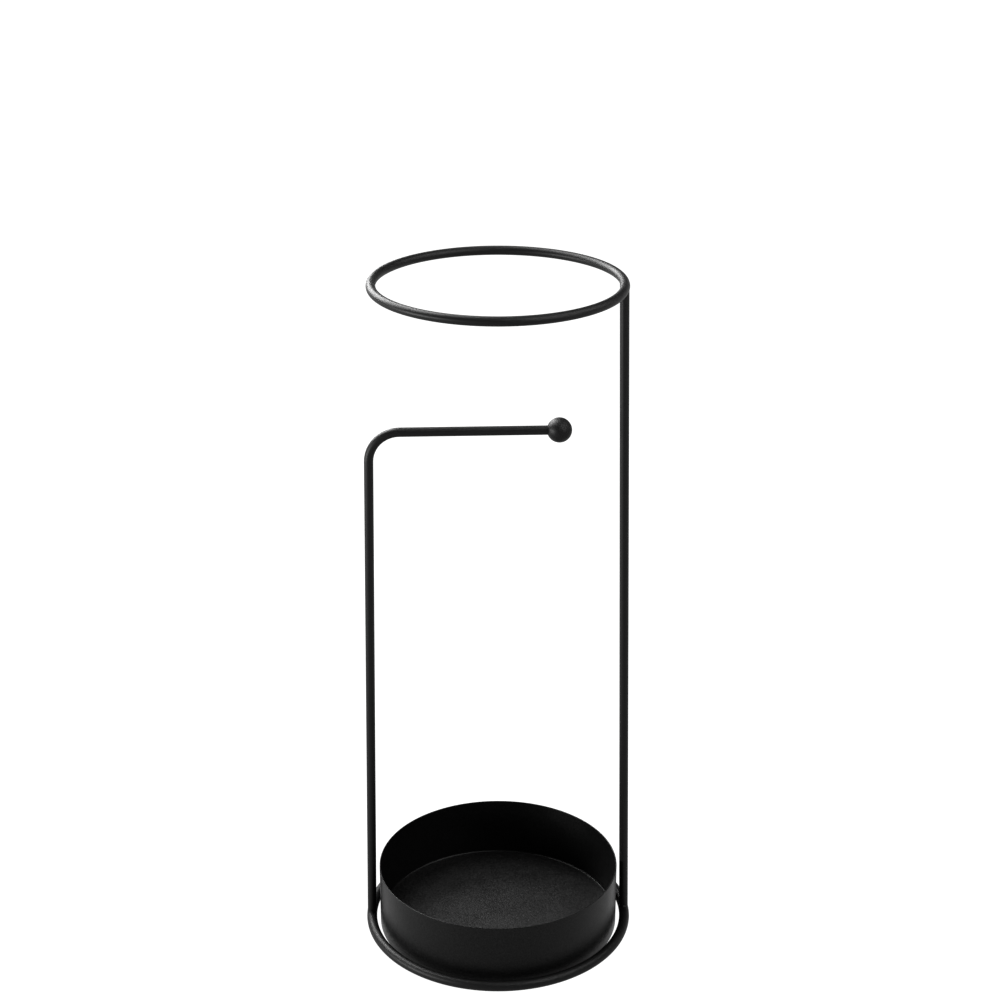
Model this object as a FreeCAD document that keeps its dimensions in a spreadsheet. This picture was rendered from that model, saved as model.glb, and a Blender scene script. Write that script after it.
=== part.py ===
import FreeCAD, Part
import Sketcher
import os

# Umbrella stand of round steel bar with a lift-out drip tray. Millimetres, +Z up.
#
# The origin is on the floor, on the axis of the two rings. The hook arm runs along +X, and -Y is
# the front. A base ring lies on the floor. Two posts rise from its left and right sides and lean
# in slightly: the right one carries the top ring, and the left one bends over into a level arm
# that ends in a ball. The tray stands on the floor inside the base ring.

# Driving dimensions: alias, value, note. Lengths in millimetres, angles in degrees.
SIZES = [
    ("overall_height", 630.0, "floor to the top of the top ring"),
    ("base_ring_diameter", 250.0, "outside of the base ring"),
    ("base_bar_diameter", 9.5, "round bar of the base ring"),
    ("bar_diameter", 8.2, "8 mm round bar of the top ring and both posts, with its coat"),
    ("post_lean", 1.2, "lean of the right post towards the axis"),
    ("hook_lean", 0.95, "lean of the hook post towards the axis"),
    ("cope_gap", 1.0, "the right post stops this far short of the top bar's centreline"),
    ("arm_height", 494.0, "floor to the centreline of the hook arm"),
    ("arm_bend_radius", 27.0, "centreline radius of the bend from post to arm"),
    ("ball_diameter", 22.0, "ball knob"),
    ("ball_offset", 53.5, "centre of the ball, to the right of the axis"),
    ("ball_flat_diameter", 9.0, "flat on the ball, where the arm butts against it"),
    ("screw_diameter", 5.0, "grub screw that holds the ball on the arm"),
    ("screw_length", 14.0, "grub screw"),
    ("screw_clearance", 0.1, "tapped holes over the screw's diameter"),
    ("hole_depth", 8.0, "tapped hole in the arm, and the same in the ball"),
    ("key_across_flats", 2.5, "hexagon socket of the grub screw"),
    ("key_depth", 3.0, "hexagon socket of the grub screw"),
    ("weld_leg", 0.6, "bead where a post meets a ring"),
    ("tray_diameter", 224.0, "outside of the tray wall"),
    ("tray_height", 60.0, "floor to the rim of the tray"),
    ("sheet_thickness", 1.0, "steel sheet of the tray"),
    ("tray_floor_raise", 1.6, "underside of the tray's floor above the ground"),
    ("tray_floor_gap", 0.1, "between the edge of the tray's floor and its wall"),
    ("tray_bead_leg", 1.6, "bead that seals the tray's floor to its wall"),
]

# Sizes that follow from the driving dimensions, written as expressions on the sheet.
POST_LEAN = "(sizes.post_lean * 1 deg)"
HOOK_LEAN = "(sizes.hook_lean * 1 deg)"
BASE_BAR_RADIUS = "(sizes.base_bar_diameter / 2)"
BAR_RADIUS = "(sizes.bar_diameter / 2)"
FOOT_OFFSET = "((sizes.base_ring_diameter - sizes.base_bar_diameter) / 2)"
FOOT_HEIGHT = BASE_BAR_RADIUS
CROWN_HEIGHT = f"(sizes.overall_height - {BAR_RADIUS})"
CROWN_OFFSET = f"({FOOT_OFFSET} - ({CROWN_HEIGHT} - {FOOT_HEIGHT}) * tan({POST_LEAN}))"
POST_AXIS_LENGTH = f"(({CROWN_HEIGHT} - {FOOT_HEIGHT}) / cos({POST_LEAN}))"
BALL_RADIUS = "(sizes.ball_diameter / 2)"
BALL_FLAT_DISTANCE = f"sqrt({BALL_RADIUS}^2 - (sizes.ball_flat_diameter / 2)^2)"
ARM_END = f"(sizes.ball_offset - {BALL_FLAT_DISTANCE})"
TAPPED_RADIUS = "((sizes.screw_diameter + sizes.screw_clearance) / 2)"
TRAY_RADIUS = "(sizes.tray_diameter / 2)"
TRAY_INNER_RADIUS = f"({TRAY_RADIUS} - sizes.sheet_thickness)"
TRAY_FLOOR_TOP = "(sizes.tray_floor_raise + sizes.sheet_thickness)"

LEFT = -1
RIGHT = 1
LEANS = {LEFT: HOOK_LEAN, RIGHT: POST_LEAN}

doc = FreeCAD.newDocument("umbrella_stand")


def add_sheet():
    """Keeps the driving dimensions, one to a row, each cell under its alias."""
    sheet = doc.addObject("Spreadsheet::Sheet", "sizes")
    for row, (alias, value, note) in enumerate(SIZES, start=1):
        sheet.set(f"A{row}", alias)
        sheet.set(f"B{row}", str(value))
        sheet.set(f"C{row}", note)
        sheet.setAlias(f"B{row}", alias)
    doc.recompute()


def bind(target, **expressions):
    """Binds properties to expressions. Two underscores in a name stand for a dot."""
    for name, expression in expressions.items():
        target.setExpression(name.replace("__", "."), expression)


def new_body(label):
    return doc.addObject("PartDesign::Body", label)


def new_sketch(body, plane_role, name):
    """Starts a sketch on one of the body's own origin planes."""
    sketch = body.newObject("Sketcher::SketchObject", name)
    plane = next(item for item in body.Origin.OriginFeatures if item.Role == plane_role)
    sketch.AttachmentSupport = [(plane, "")]
    sketch.MapMode = "FlatFace"
    return sketch


def constrain(sketch, name, kind, *geometry, expression):
    """Adds a named dimension and binds it to the sheet."""
    start_value = 1.0
    index = sketch.addConstraint(Sketcher.Constraint(kind, *geometry, start_value))
    sketch.renameConstraint(index, name)
    sketch.setExpression(f"Constraints.{name}", expression)


ORIGIN = (-1, 1)
START, END, CENTRE = 1, 2, 3


def add_circle(sketch, name, diameter, across=None, up=None):
    """Draws a circle on the sketch's origin, or at a distance across and up from it."""
    index = sketch.addGeometry(Part.Circle(FreeCAD.Vector(1, 1, 0), FreeCAD.Vector(0, 0, 1), 1))
    if across is None:
        sketch.addConstraint(Sketcher.Constraint("Coincident", index, CENTRE, *ORIGIN))
    else:
        constrain(sketch, f"{name}_across", "DistanceX", *ORIGIN, index, CENTRE, expression=across)
        constrain(sketch, f"{name}_up", "DistanceY", *ORIGIN, index, CENTRE, expression=up)
    constrain(sketch, f"{name}_diameter", "Diameter", index, expression=diameter)


def revolve(body, sketch, name):
    """Turns a section drawn on the XZ plane once round the stand's axis."""
    turn = body.newObject("PartDesign::Revolution", name)
    turn.Profile = sketch
    turn.ReferenceAxis = (sketch, ["V_Axis"])
    turn.Angle = 360
    sketch.Visibility = False


def pad(body, sketch, name, length):
    solid = body.newObject("PartDesign::Pad", name)
    solid.Profile = sketch
    bind(solid, Length=length)
    sketch.Visibility = False


def cut(label, base, tool):
    result = doc.addObject("Part::Cut", label)
    result.Base = base
    result.Tool = tool
    return result


def stand_on_base_ring(item, side, distance_up="0"):
    """Puts an item's Z axis on a post's axis, its origin a distance up from the base bar's centre."""
    item.Placement = FreeCAD.Placement(
        FreeCAD.Vector(side, 0, 0), FreeCAD.Rotation(FreeCAD.Vector(0, 1, 0), -side)
    )
    lean = LEANS[side]
    bind(
        item,
        Placement__Base__x=f"{side} * ({FOOT_OFFSET} - {distance_up} * sin({lean}))",
        Placement__Base__z=f"{FOOT_HEIGHT} + {distance_up} * cos({lean})",
        Placement__Rotation__Angle=f"{-side} * {lean}",
    )


def lay_along_arm(item, start):
    """Puts an item's Z axis on the arm's centreline, pointing right, from a distance along X."""
    item.Placement = FreeCAD.Placement(
        FreeCAD.Vector(1, 0, 1), FreeCAD.Rotation(FreeCAD.Vector(0, 1, 0), 90)
    )
    bind(item, Placement__Base__x=start, Placement__Base__z="sizes.arm_height")


def make_ring(label, bar_diameter, offset, height):
    """A round bar bent into a closed, level ring."""
    ring = new_body(label)
    section = new_sketch(ring, "XZ_Plane", f"{label}_section")
    add_circle(section, "bar", bar_diameter, across=offset, up=height)
    revolve(ring, section, f"{label}_bar")
    return ring


def make_right_post(top_ring, base_ring):
    """A straight bar, coped at both ends to sit on the base ring and under the top ring."""
    bar = new_body("right_post_bar")
    section = new_sketch(bar, "XY_Plane", "right_post_section")
    add_circle(section, "bar", "sizes.bar_diameter")
    pad(bar, section, "right_post_length", f"{POST_AXIS_LENGTH} - sizes.cope_gap")
    stand_on_base_ring(bar, RIGHT)
    on_base = cut("right_post_on_base", bar, base_ring)
    return cut("right_post", on_base, top_ring)


def add_hook_path(bar):
    """Draws the hook's centreline in the post's own plane: straight post, bend, level arm."""
    path = new_sketch(bar, "XZ_Plane", "hook_path")
    up_to_bend = (
        f"(sizes.arm_height - {FOOT_HEIGHT} - sizes.arm_bend_radius * (1 - sin({HOOK_LEAN})))"
        f" / cos({HOOK_LEAN})"
    )
    along_arm = (
        f"{ARM_END} + {FOOT_OFFSET} - {up_to_bend} * sin({HOOK_LEAN})"
        f" - sizes.arm_bend_radius * cos({HOOK_LEAN})"
    )
    post = path.addGeometry(Part.LineSegment(FreeCAD.Vector(0, 0, 0), FreeCAD.Vector(0, 100, 0)))
    bend_circle = Part.Circle(FreeCAD.Vector(20, 100, 0), FreeCAD.Vector(0, 0, 1), 20)
    quarter_turn = (1.5708, 3.1416)
    bend = path.addGeometry(Part.ArcOfCircle(bend_circle, *quarter_turn))
    arm = path.addGeometry(Part.LineSegment(FreeCAD.Vector(20, 120, 0), FreeCAD.Vector(90, 121, 0)))
    path.addConstraint(Sketcher.Constraint("Coincident", post, START, *ORIGIN))
    path.addConstraint(Sketcher.Constraint("Vertical", post))
    path.addConstraint(Sketcher.Constraint("Tangent", post, END, bend, END))
    path.addConstraint(Sketcher.Constraint("Tangent", bend, START, arm, START))
    constrain(path, "post_length", "Distance", post, expression=up_to_bend)
    constrain(path, "bend_radius", "Radius", bend, expression="sizes.arm_bend_radius")
    constrain(path, "arm_length", "Distance", arm, expression=along_arm)
    constrain(path, "arm_slope", "Angle", arm, expression=HOOK_LEAN)
    return path


def make_tapped_hole(name, start):
    """A hole for the grub screw, to be cut from the arm or from the ball."""
    hole = doc.addObject("Part::Cylinder", name)
    bind(hole, Radius=TAPPED_RADIUS, Height="sizes.hole_depth")
    lay_along_arm(hole, start)
    return hole


def make_hook_post(base_ring):
    """One bar: a straight post coped on the base ring, a bend and a level arm, tapped at its end."""
    bar = new_body("hook_post_bar")
    path = add_hook_path(bar)
    section = new_sketch(bar, "XY_Plane", "hook_section")
    add_circle(section, "bar", "sizes.bar_diameter")
    doc.recompute()
    sweep = bar.newObject("PartDesign::AdditivePipe", "hook_sweep")
    sweep.Profile = section
    sweep.Spine = (path, ["Edge1", "Edge2", "Edge3"])
    path.Visibility = False
    section.Visibility = False
    stand_on_base_ring(bar, LEFT)
    on_base = cut("hook_post_on_base", bar, base_ring)
    hole = make_tapped_hole("arm_hole", f"{ARM_END} - sizes.hole_depth")
    return cut("hook_post", on_base, hole)


def make_ball_knob():
    """A ball with a small flat against the arm's end and a blind tapped hole behind the flat."""
    ball = doc.addObject("Part::Sphere", "ball")
    bind(ball, Radius=BALL_RADIUS)
    lay_along_arm(ball, "sizes.ball_offset")
    beyond_flat = doc.addObject("Part::Cylinder", "ball_beyond_flat")
    bind(beyond_flat, Radius="sizes.ball_diameter", Height="sizes.ball_diameter")
    lay_along_arm(beyond_flat, f"{ARM_END} - sizes.ball_diameter")
    flat_ball = cut("ball_with_flat", ball, beyond_flat)
    return cut("ball_knob", flat_ball, make_tapped_hole("ball_hole", ARM_END))


def make_grub_screw():
    """A headless screw, half in the arm and half in the ball, with a hexagon socket."""
    shank = doc.addObject("Part::Cylinder", "screw_shank")
    bind(shank, Radius="sizes.screw_diameter / 2", Height="sizes.screw_length")
    lay_along_arm(shank, f"{ARM_END} - sizes.screw_length / 2")
    socket = doc.addObject("Part::Prism", "screw_socket")
    socket.Polygon = 6
    bind(socket, Circumradius="sizes.key_across_flats / sqrt(3)", Height="sizes.key_depth")
    lay_along_arm(socket, f"{ARM_END} + sizes.screw_length / 2 - sizes.key_depth")
    return cut("knob_grub_screw", shank, socket)


def make_weld(name, side, bar, ring, bar_radius, offset, height, low, high):
    """
    A thin bead round a post where it meets a ring, shaped to the ring's round bar: the ring's bar
    thickened by the weld's leg, kept only close to the post, less the ring and the post. The ring
    is given by its bar's radius, offset and height, and the bead's ends by distances up the post.
    """
    near_post = doc.addObject("Part::Cylinder", f"{name}_near_post")
    bind(near_post, Radius=f"{BAR_RADIUS} + sizes.weld_leg", Height=f"{high} - {low}")
    stand_on_base_ring(near_post, side, low)
    thick_ring = doc.addObject("Part::Torus", f"{name}_thick_ring")
    bind(thick_ring, Radius1=offset, Radius2=f"{bar_radius} + sizes.weld_leg")
    bind(thick_ring, Placement__Base__z=height)
    skin = doc.addObject("Part::Common", f"{name}_skin")
    skin.Base = near_post
    skin.Tool = thick_ring
    off_ring = cut(f"{name}_off_ring", skin, ring)
    return cut(name, off_ring, bar)


def make_post_welds(base_ring, top_ring):
    """The three beads that join the posts to the rings, one node of separate solids."""
    at_base = {
        "ring": base_ring,
        "bar_radius": BASE_BAR_RADIUS,
        "offset": FOOT_OFFSET,
        "height": FOOT_HEIGHT,
        "low": f"({BASE_BAR_RADIUS} / 2)",
        "high": f"({BASE_BAR_RADIUS} + sizes.weld_leg)",
    }
    at_top = {
        "ring": top_ring,
        "bar_radius": BAR_RADIUS,
        "offset": CROWN_OFFSET,
        "height": CROWN_HEIGHT,
        "low": f"({POST_AXIS_LENGTH} - {BAR_RADIUS} - sizes.weld_leg)",
        "high": f"({POST_AXIS_LENGTH} - sizes.cope_gap)",
    }
    right_bar = doc.getObject("right_post_bar")
    left_bar = doc.getObject("hook_post_bar")
    welds = doc.addObject("Part::Compound", "post_welds")
    welds.Links = [
        make_weld("weld_right_foot", RIGHT, right_bar, **at_base),
        make_weld("weld_left_foot", LEFT, left_bar, **at_base),
        make_weld("weld_right_crown", RIGHT, right_bar, **at_top),
    ]
    return welds


def make_tray_wall():
    """A strip of sheet rolled into a tube, standing on the floor on its lower edge."""
    wall = new_body("tray_wall")
    section = new_sketch(wall, "XY_Plane", "tray_wall_section")
    add_circle(section, "outside", "sizes.tray_diameter")
    add_circle(section, "inside", f"2 * {TRAY_INNER_RADIUS}")
    pad(wall, section, "tray_wall_height", "sizes.tray_height")
    return wall


def make_tray_floor():
    """A flat disc of sheet, set just above the wall's lower edge."""
    floor = new_body("tray_floor")
    outline = new_sketch(floor, "XY_Plane", "tray_floor_outline")
    add_circle(outline, "edge", f"2 * ({TRAY_INNER_RADIUS} - sizes.tray_floor_gap)")
    pad(floor, outline, "tray_floor_sheet", "sizes.sheet_thickness")
    bind(floor, Placement__Base__z="sizes.tray_floor_raise")
    return floor


def make_tray_bead():
    """The sloping bead all round the corner between the tray's floor and its wall."""
    bead = new_body("tray_corner_bead")
    section = new_sketch(bead, "XZ_Plane", "tray_bead_section")
    corner = FreeCAD.Vector(2, 0, 0)
    up_wall = FreeCAD.Vector(2, 1, 0)
    in_floor = FreeCAD.Vector(1, 0, 0)
    along_wall = section.addGeometry(Part.LineSegment(corner, up_wall))
    face = section.addGeometry(Part.LineSegment(up_wall, in_floor))
    along_floor = section.addGeometry(Part.LineSegment(in_floor, corner))
    section.addConstraint(Sketcher.Constraint("Vertical", along_wall))
    section.addConstraint(Sketcher.Constraint("Horizontal", along_floor))
    section.addConstraint(Sketcher.Constraint("Coincident", along_wall, END, face, START))
    section.addConstraint(Sketcher.Constraint("Coincident", face, END, along_floor, START))
    section.addConstraint(Sketcher.Constraint("Coincident", along_floor, END, along_wall, START))
    foot = (along_wall, START)
    constrain(section, "across", "DistanceX", *ORIGIN, *foot, expression=TRAY_INNER_RADIUS)
    constrain(section, "up", "DistanceY", *ORIGIN, *foot, expression=TRAY_FLOOR_TOP)
    leg = "sizes.tray_bead_leg"
    constrain(section, "wall_leg", "DistanceY", *foot, along_wall, END, expression=leg)
    constrain(section, "floor_leg", "DistanceX", along_floor, START, *foot, expression=leg)
    revolve(bead, section, "tray_bead_round")
    return bead


def check_document():
    """Stops if any object failed, because a recompute can leave one failed without an error."""
    for item in doc.Objects:
        if "Invalid" in item.State or "Error" in item.State:
            raise RuntimeError(f"{item.Label} failed: {item.State}")


def check_shape(part):
    if part.Shape.isNull() or not part.Shape.isValid():
        raise RuntimeError(f"{part.Label} has no valid shape")
    if not part.Shape.Solids:
        raise RuntimeError(f"{part.Label} holds no solid")


def make_stand():
    """Builds every piece and returns them in the order that they would be put together."""
    add_sheet()
    base_ring = make_ring("base_ring", "sizes.base_bar_diameter", FOOT_OFFSET, FOOT_HEIGHT)
    top_ring = make_ring("top_ring", "sizes.bar_diameter", CROWN_OFFSET, CROWN_HEIGHT)
    return [
        base_ring,
        make_right_post(top_ring, base_ring),
        make_hook_post(base_ring),
        top_ring,
        make_post_welds(base_ring, top_ring),
        make_grub_screw(),
        make_ball_knob(),
        make_tray_wall(),
        make_tray_floor(),
        make_tray_bead(),
    ]


parts = make_stand()
doc.recompute()
check_document()
os.makedirs("parts", exist_ok=True)
for part in parts:
    check_shape(part)
    part.Shape.exportStep(f"parts/{part.Label}.step")
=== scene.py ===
"""Looks for a black steel umbrella stand with a lift-out drip tray.

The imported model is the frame, in metres: +Z up, the origin on the floor at the rings' axis, the
hook arm along +X and -Y the front. The bars, the ball, the hidden screw and the tray's floor
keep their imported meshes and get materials. The tray's wall, the bead in its corner and the welds
are made again here with rounded edges and true fillets, because those edges catch the light.
"""

import math

import bmesh
import bpy
from mathutils import Matrix, Vector


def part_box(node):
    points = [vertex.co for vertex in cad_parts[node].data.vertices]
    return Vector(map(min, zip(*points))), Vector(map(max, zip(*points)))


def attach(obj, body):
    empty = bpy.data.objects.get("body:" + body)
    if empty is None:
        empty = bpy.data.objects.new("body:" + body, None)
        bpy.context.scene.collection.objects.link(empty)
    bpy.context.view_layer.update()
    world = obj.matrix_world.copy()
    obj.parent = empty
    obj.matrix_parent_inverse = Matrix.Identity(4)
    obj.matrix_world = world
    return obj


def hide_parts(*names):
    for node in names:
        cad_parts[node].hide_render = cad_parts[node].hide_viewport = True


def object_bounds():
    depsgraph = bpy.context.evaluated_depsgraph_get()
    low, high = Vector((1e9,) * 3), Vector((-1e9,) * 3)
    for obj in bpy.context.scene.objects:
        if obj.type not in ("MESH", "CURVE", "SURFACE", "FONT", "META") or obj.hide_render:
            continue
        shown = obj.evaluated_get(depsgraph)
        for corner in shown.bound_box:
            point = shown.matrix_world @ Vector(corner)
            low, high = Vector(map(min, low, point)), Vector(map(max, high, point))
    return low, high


MM = 0.001

# The tray: sizes of what is made again here.
RIM_ROUNDING = 0.32 * MM
TRAY_SIDES = 288
CORNER_STEPS = 6
BEAD_LEG = 1.1 * MM

# The welds between posts and rings.
WELD_LEG = 1.0 * MM
WELD_BULGE = 0.12
WELD_RIPPLE = 0.06
WELD_RIPPLES = 26
WELD_SIDES = 156
WELD_FACE_STEPS = 6
WELD_SINK = 0.35 * MM
# The search for the point where a line leaves a bar: how far it looks, in bar radii, and how
# often it halves that length.
SURELY_OUTSIDE = 3
HALVINGS = 40

# Powder coat. Texture scales are in cells per metre.
PEEL_SCALE = 420.0
GLOSS_DRIFT_SCALE = 28.0
GRAIN_DARK_BELOW = 0.35
GRAIN_LIGHT_ABOVE = 0.72
GLOSSIER_BY = 0.03
DULLER_BY = 0.05
PEEL_STRENGTH = 0.5
GRAIN_STRENGTH = 0.6
SPECULAR_LEVEL = 0.25

# Zinc-plated steel, of the screw that is hidden in the arm and the ball.
ZINC_CLOUD_SCALE = 600.0
ZINC_DARK = (0.28, 0.28, 0.29)
ZINC_LIGHT = (0.42, 0.42, 0.43)
ZINC_ROUGHNESS = (0.32, 0.5)
ZINC_BUMP_STRENGTH = 0.3
ZINC_BUMP_DEPTH = 0.02 * MM

# The noise values between which a cloudy texture goes from its low to its high value.
CLOUD_LOW = 0.3
CLOUD_HIGH = 0.7

# The camera: how far in front of the object, how high, how far to the right, and where it looks.
# The lens and the sensor are in millimetres.
CAMERA_DISTANCE = 1.672
CAMERA_HEIGHT = 1.1092
CAMERA_ASIDE = 1.8 * MM
CAMERA_TURN = math.radians(-2.4)
CAMERA_PITCH = math.radians(22.13)
CAMERA_LENS = 73.95
CAMERA_SENSOR = 36.0
CAMERA_NEAR = 0.05
CAMERA_FAR = 200.0

FLOOR_RADIUS = 40.0
FLOOR_SIDES = 96
FLOOR_CLOUD_SCALE = 1.5
FLOOR_DARK = 0.028
FLOOR_LIGHT = 0.034
FLOOR_ROUGHNESS = 0.9
WHITE = (1.0, 1.0, 1.0, 1.0)

LIGHTS = [
    # name, azimuth from +X and elevation in degrees, distance, width, height, watts
    ("left_back_softbox", 128.0, 30.0, 2.0, 1.5, 0.9, 50.0),
    ("left_high_softbox", 138.0, 60.0, 2.0, 1.5, 0.9, 42.0),
    ("left_low_softbox", 200.0, 2.0, 2.0, 1.5, 0.4, 42.0),
    ("right_softbox", 0.0, 46.0, 2.0, 0.9, 1.4, 17.0),
    ("right_front_softbox", 315.0, 32.0, 2.0, 0.9, 0.9, 15.0),
    ("front_high_softbox", 300.0, 60.0, 2.0, 0.9, 0.9, 11.0),
]
FLOOR_GLOW = 0.74
CEILING_GLOW = 0.05
# The sine of the elevation above the horizon where the walls start and stop getting darker.
WALL_FADE_START = 0.06
WALL_FADE_END = 0.3


# ---------------------------------------------------------------- meshes

def new_object(name, vertices, faces):
    """A smooth-shaded mesh object in the scene."""
    mesh = bpy.data.meshes.new(name)
    mesh.from_pydata(vertices, [], faces)
    mesh.validate()
    for polygon in mesh.polygons:
        polygon.use_smooth = True
    item = bpy.data.objects.new(name, mesh)
    bpy.context.scene.collection.objects.link(item)
    return item


def face_outwards(item):
    """Turns the faces of a closed mesh so that they all look outwards."""
    work = bmesh.new()
    work.from_mesh(item.data)
    bmesh.ops.recalc_face_normals(work, faces=work.faces)
    work.to_mesh(item.data)
    work.free()
    return item


def closed_loops(name, loops):
    """Skins a row of loops of points, closed both ways, into one watertight piece."""
    size = len(loops[0])
    vertices = [point for loop in loops for point in loop]
    faces = []
    for turn in range(len(loops)):
        following = (turn + 1) % len(loops)
        for step in range(size):
            beside = (step + 1) % size
            faces.append((
                turn * size + step,
                turn * size + beside,
                following * size + beside,
                following * size + step,
            ))
    return face_outwards(new_object(name, vertices, faces))


def revolve(name, outline, sides):
    """Turns a closed outline of (radius, height) points round the Z axis."""
    loops = []
    for turn in range(sides):
        angle = 2 * math.pi * turn / sides
        loops.append([(r * math.cos(angle), r * math.sin(angle), z) for r, z in outline])
    return closed_loops(name, loops)


def arc(centre, radius, start, end, steps):
    """Points on an arc in the (radius, height) plane, angles in degrees, both ends included."""
    points = []
    for step in range(steps + 1):
        angle = math.radians(start + (end - start) * step / steps)
        points.append((centre[0] + radius * math.cos(angle), centre[1] + radius * math.sin(angle)))
    return points


# ---------------------------------------------------------------- materials

class Nodes:
    """A short way to add and join shader nodes in one material."""

    def __init__(self, name):
        self.material = bpy.data.materials.new(name)
        self.material.use_nodes = True
        self.tree = self.material.node_tree
        self.shader = next(n for n in self.tree.nodes if n.type == "BSDF_PRINCIPLED")
        place = self.add("ShaderNodeTexCoord")
        self.place = place.outputs["Object"]

    def add(self, kind):
        return self.tree.nodes.new(kind)

    def join(self, source, target):
        self.tree.links.new(source, target)

    def noise(self, scale, detail=2.0, roughness=0.5):
        node = self.add("ShaderNodeTexNoise")
        node.inputs["Scale"].default_value = scale
        node.inputs["Detail"].default_value = detail
        node.inputs["Roughness"].default_value = roughness
        self.join(self.place, node.inputs["Vector"])
        return node.outputs["Fac"]

    def spread(self, source, low, high):
        """Maps a cloudy texture's value to low..high."""
        node = self.add("ShaderNodeMapRange")
        node.inputs["From Min"].default_value = CLOUD_LOW
        node.inputs["From Max"].default_value = CLOUD_HIGH
        node.inputs["To Min"].default_value = low
        node.inputs["To Max"].default_value = high
        self.join(source, node.inputs["Value"])
        return node.outputs["Result"]

    def colours(self, source, *stops):
        """Colours a texture by a ramp between two stops, each a position and a colour."""
        node = self.add("ShaderNodeValToRGB")
        for element, (position, colour) in zip(node.color_ramp.elements, stops):
            element.position = position
            element.color = (*colour, 1.0)
        self.join(source, node.inputs["Fac"])
        return node.outputs["Color"]

    def bump(self, source, strength, distance, normal=None):
        node = self.add("ShaderNodeBump")
        node.inputs["Strength"].default_value = strength
        node.inputs["Distance"].default_value = distance
        self.join(source, node.inputs["Height"])
        if normal is not None:
            self.join(normal, node.inputs["Normal"])
        return node.outputs["Normal"]

    def set(self, **values):
        """Sets constants on the shader, its socket names written with underscores."""
        for key, value in values.items():
            self.shader.inputs[key.replace("_", " ")].default_value = value


def grey(value):
    return (value, value, value)


def powder_coat(name, dark, light, roughness, grain_scale, grain_depth, peel_depth):
    """Black powder coat: a fine grain over a broader orange peel, a little uneven in gloss."""
    nodes = Nodes(name)
    grain = nodes.noise(grain_scale, detail=3.0, roughness=0.6)
    peel = nodes.noise(PEEL_SCALE, detail=1.0)
    drift = nodes.noise(GLOSS_DRIFT_SCALE)
    colour = nodes.colours(
        grain, (GRAIN_DARK_BELOW, grey(dark)), (GRAIN_LIGHT_ABOVE, grey(light))
    )
    nodes.join(colour, nodes.shader.inputs["Base Color"])
    gloss = nodes.spread(drift, roughness - GLOSSIER_BY, roughness + DULLER_BY)
    nodes.join(gloss, nodes.shader.inputs["Roughness"])
    peeled = nodes.bump(peel, PEEL_STRENGTH, peel_depth)
    grained = nodes.bump(grain, GRAIN_STRENGTH, grain_depth, peeled)
    nodes.join(grained, nodes.shader.inputs["Normal"])
    nodes.set(Metallic=0.0, Specular_IOR_Level=SPECULAR_LEVEL)
    return nodes.material


def frame_coat():
    """Nearly smooth satin, on the bars and the ball."""
    return powder_coat(
        "satin_black_coat", dark=0.005, light=0.009, roughness=0.48,
        grain_scale=1500.0, grain_depth=0.02 * MM, peel_depth=0.02 * MM,
    )


def tray_coat():
    """A fine grain, on the tray's wall and its corner bead."""
    return powder_coat(
        "fine_textured_black_coat", dark=0.001, light=0.009, roughness=0.37,
        grain_scale=800.0, grain_depth=0.3 * MM, peel_depth=0.03 * MM,
    )


def tray_floor_coat():
    """The same powder, which lies thicker and coarser on a sheet that is coated flat."""
    return powder_coat(
        "coarse_textured_black_coat", dark=0.003, light=0.023, roughness=0.4,
        grain_scale=620.0, grain_depth=0.33 * MM, peel_depth=0.03 * MM,
    )


def zinc_steel():
    """Dull cloudy zinc plate."""
    nodes = Nodes("dull_zinc_steel")
    cloud = nodes.noise(ZINC_CLOUD_SCALE, detail=4.0)
    colour = nodes.colours(cloud, (CLOUD_LOW, ZINC_DARK), (CLOUD_HIGH, ZINC_LIGHT))
    nodes.join(colour, nodes.shader.inputs["Base Color"])
    nodes.join(nodes.spread(cloud, *ZINC_ROUGHNESS), nodes.shader.inputs["Roughness"])
    bumped = nodes.bump(cloud, ZINC_BUMP_STRENGTH, ZINC_BUMP_DEPTH)
    nodes.join(bumped, nodes.shader.inputs["Normal"])
    nodes.set(Metallic=1.0)
    return nodes.material


def pale_floor():
    """A pale surface lit from within, as a light table is, so that it shows only faint shadows."""
    nodes = Nodes("pale_floor")
    cloud = nodes.noise(FLOOR_CLOUD_SCALE)
    colour = nodes.colours(cloud, (CLOUD_LOW, grey(FLOOR_DARK)), (CLOUD_HIGH, grey(FLOOR_LIGHT)))
    nodes.join(colour, nodes.shader.inputs["Base Color"])
    nodes.set(Roughness=FLOOR_ROUGHNESS, Specular_IOR_Level=0.0)
    nodes.set(Emission_Color=WHITE, Emission_Strength=FLOOR_GLOW)
    return nodes.material


def paint(item, material):
    """Gives an object one material, in place of any it has."""
    item.data.materials.clear()
    item.data.materials.append(material)


# ---------------------------------------------------------------- pieces

def tray_wall():
    """The rolled sheet, its rim and lower edge rounded."""
    low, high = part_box("tray_wall")
    outer = high.x
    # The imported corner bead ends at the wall's inner face.
    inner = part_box("tray_corner_bead")[1].x
    r = RIM_ROUNDING
    outline = []
    outline += arc((outer - r, low.z + r), r, -90, 0, CORNER_STEPS)
    outline += arc((outer - r, high.z - r), r, 0, 90, CORNER_STEPS)
    outline += arc((inner + r, high.z - r), r, 90, 180, CORNER_STEPS)
    outline += arc((inner + r, low.z + r), r, 180, 270, CORNER_STEPS)
    return revolve("tray_wall_sheet", outline, TRAY_SIDES)


def tray_bead():
    """A slim hollow-faced bead in the corner between the tray's floor and its wall."""
    low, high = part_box("tray_corner_bead")
    corner = (high.x, low.z)
    face = arc((corner[0] - BEAD_LEG, corner[1] + BEAD_LEG), BEAD_LEG, 0, -90, CORNER_STEPS)
    return revolve("tray_corner_fillet", [corner, *face], TRAY_SIDES)


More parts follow.
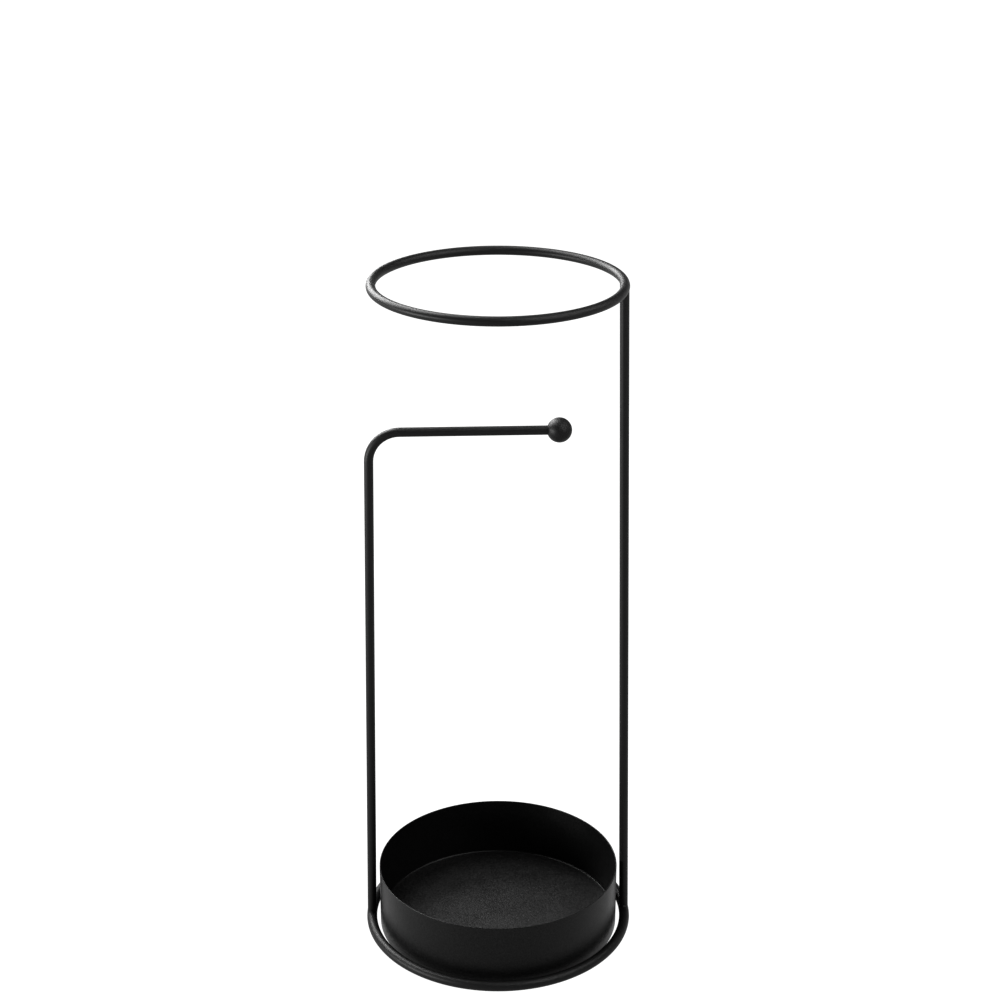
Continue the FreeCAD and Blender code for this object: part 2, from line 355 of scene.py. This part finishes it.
def ring_sizes(node):
    """(centreline radius, height of the centreline, bar radius) of a ring node."""
    low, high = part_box(node)
    bar = (high.z - low.z) / 2
    return high.x - bar, (low.z + high.z) / 2, bar


def onto_ring(point, ring):
    """The point of the ring's surface that is nearest to a point."""
    radius, height, bar = ring
    flat = math.hypot(point.x, point.y)
    centre = Vector((point.x / flat * radius, point.y / flat * radius, height))
    return centre + (point - centre).normalized() * bar


def above_ring(point, ring):
    """How far a point is outside the ring's surface."""
    radius, height, bar = ring
    return math.hypot(math.hypot(point.x, point.y) - radius, point.z - height) - bar


def where_line_leaves(start, direction, ring):
    """The distance along a line, from inside the ring's bar, at which it comes out."""
    bar = ring[2]
    inside, outside = 0.0, SURELY_OUTSIDE * bar
    for _ in range(HALVINGS):
        middle = (inside + outside) / 2
        if above_ring(start + direction * middle, ring) < 0:
            inside = middle
        else:
            outside = middle
    return outside


def weld(name, centre, direction, ring, post_radius):
    """The fillet bead round a post that meets a ring at centre and leaves it along direction."""
    along = direction.normalized()
    across = along.cross(Vector((0, 1, 0))).normalized()
    beside = along.cross(across)
    loops = []
    for turn in range(WELD_SIDES):
        angle = 2 * math.pi * turn / WELD_SIDES
        leg = WELD_LEG * (1 + WELD_RIPPLE * math.cos(WELD_RIPPLES * angle))
        outward = across * math.cos(angle) + beside * math.sin(angle)
        foot = centre + outward * post_radius
        corner = foot + along * where_line_leaves(foot, along, ring)
        on_post = corner + along * leg
        on_ring = onto_ring(corner + outward * leg, ring)
        middle = (on_post + on_ring) / 2
        bulged = middle + (middle - corner) * WELD_BULGE
        inner = corner - outward * WELD_SINK - along * WELD_SINK
        loop = [inner, on_post - outward * WELD_SINK]
        for step in range(WELD_FACE_STEPS + 1):
            share = step / WELD_FACE_STEPS
            curve = on_post.lerp(bulged, share).lerp(bulged.lerp(on_ring, share), share)
            loop.append(curve)
        loops.append(loop)
    return closed_loops(name, loops)


def post_welds():
    """The three beads, the left foot's as the mirror image of the right foot's.

    The left post leans a quarter of a degree less than the right one, which would move its bead
    by only 0.02 mm.
    """
    base = ring_sizes("base_ring")
    top = ring_sizes("top_ring")
    low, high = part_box("right_post")
    post_radius = (high.y - low.y) / 2
    foot = Vector((base[0], 0, base[1]))
    crown = Vector((top[0], 0, top[1]))
    mirrored = Vector((-1, 1, 1))
    return [
        weld("weld_right_foot", foot, crown - foot, base, post_radius),
        weld("weld_left_foot", foot * mirrored, (crown - foot) * mirrored, base, post_radius),
        weld("weld_right_crown", crown, foot - crown, top, post_radius),
    ]


def dress_tray(coat):
    """Puts the new wall and corner bead on the tray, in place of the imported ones."""
    wall = tray_wall()
    paint(wall, coat)
    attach(wall, "tray")
    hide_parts("tray_wall")

    bead = tray_bead()
    paint(bead, coat)
    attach(bead, "tray")
    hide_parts("tray_corner_bead")


def dress_welds(coat):
    """Puts the new beads on the stand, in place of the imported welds."""
    for bead in post_welds():
        paint(bead, coat)
        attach(bead, "stand")
        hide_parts("post_welds")


# ---------------------------------------------------------------- stage

def add_floor():
    """A round floor that is wide enough to reach the horizon."""
    vertices = []
    for turn in range(FLOOR_SIDES):
        angle = 2 * math.pi * turn / FLOOR_SIDES
        vertices.append((FLOOR_RADIUS * math.cos(angle), FLOOR_RADIUS * math.sin(angle), 0.0))
    floor = new_object("floor", vertices, [tuple(range(FLOOR_SIDES))])
    paint(floor, pale_floor())


def add_world():
    """Studio walls: as pale as the floor at the horizon, and darker above."""
    world = bpy.data.worlds.new("studio_walls")
    world.use_nodes = True
    tree = world.node_tree
    place = tree.nodes.new("ShaderNodeTexCoord")
    split = tree.nodes.new("ShaderNodeSeparateXYZ")
    fade = tree.nodes.new("ShaderNodeMapRange")
    fade.inputs["From Min"].default_value = WALL_FADE_START
    fade.inputs["From Max"].default_value = WALL_FADE_END
    fade.inputs["To Min"].default_value = FLOOR_GLOW
    fade.inputs["To Max"].default_value = CEILING_GLOW
    tree.links.new(place.outputs["Generated"], split.inputs["Vector"])
    tree.links.new(split.outputs["Z"], fade.inputs["Value"])
    tree.links.new(fade.outputs["Result"], tree.nodes["Background"].inputs["Color"])
    bpy.context.scene.world = world


def add_softbox(name, azimuth, elevation, distance, width, height, watts, target):
    """A rectangular area light that faces the target from a direction."""
    data = bpy.data.lights.new(name, "AREA")
    data.shape = "RECTANGLE"
    data.size = width
    data.size_y = height
    data.energy = watts
    item = bpy.data.objects.new(name, data)
    bpy.context.scene.collection.objects.link(item)
    turn = math.radians(azimuth)
    rise = math.radians(elevation)
    direction = Vector((
        math.cos(turn) * math.cos(rise), math.sin(turn) * math.cos(rise), math.sin(rise)
    ))
    item.location = target + direction * distance
    item.rotation_mode = "QUATERNION"
    item.rotation_quaternion = direction.to_track_quat("Z", "Y")
    item.visible_camera = False


def add_camera():
    """Stands the camera in front of the object, then swings it round the vertical axis."""
    data = bpy.data.cameras.new("camera")
    data.lens = CAMERA_LENS
    data.sensor_width = CAMERA_SENSOR
    data.clip_start = CAMERA_NEAR
    data.clip_end = CAMERA_FAR
    item = bpy.data.objects.new("camera", data)
    bpy.context.scene.collection.objects.link(item)
    turn = Matrix.Rotation(CAMERA_TURN, 4, "Z")
    item.location = turn @ Vector((CAMERA_ASIDE, -CAMERA_DISTANCE, CAMERA_HEIGHT))
    item.rotation_euler = (math.pi / 2 - CAMERA_PITCH, 0.0, CAMERA_TURN)
    bpy.context.scene.camera = item


def set_contrast():
    """Pure white round the object and deep black in its darkest places."""
    view = bpy.context.scene.view_settings
    view.view_transform = "Standard"
    view.look = "High Contrast"


# ---------------------------------------------------------------- the scene

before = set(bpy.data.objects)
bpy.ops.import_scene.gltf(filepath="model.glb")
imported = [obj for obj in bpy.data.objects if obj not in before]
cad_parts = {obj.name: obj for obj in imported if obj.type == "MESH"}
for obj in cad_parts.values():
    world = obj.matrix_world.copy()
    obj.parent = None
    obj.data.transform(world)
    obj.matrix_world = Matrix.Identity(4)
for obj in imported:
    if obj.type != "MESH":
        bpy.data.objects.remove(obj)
cad_low, cad_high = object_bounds()

bar_paint = frame_coat()
sheet_paint = tray_coat()
for node in ("base_ring", "right_post", "hook_post", "top_ring", "ball_knob"):
    paint(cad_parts[node], bar_paint)
paint(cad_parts["tray_floor"], tray_floor_coat())
paint(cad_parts["knob_grub_screw"], zinc_steel())

dress_tray(sheet_paint)
dress_welds(bar_paint)

add_floor()
add_world()
middle = (cad_low + cad_high) / 2
for softbox in LIGHTS:
    add_softbox(*softbox, target=middle)
add_camera()
set_contrast()
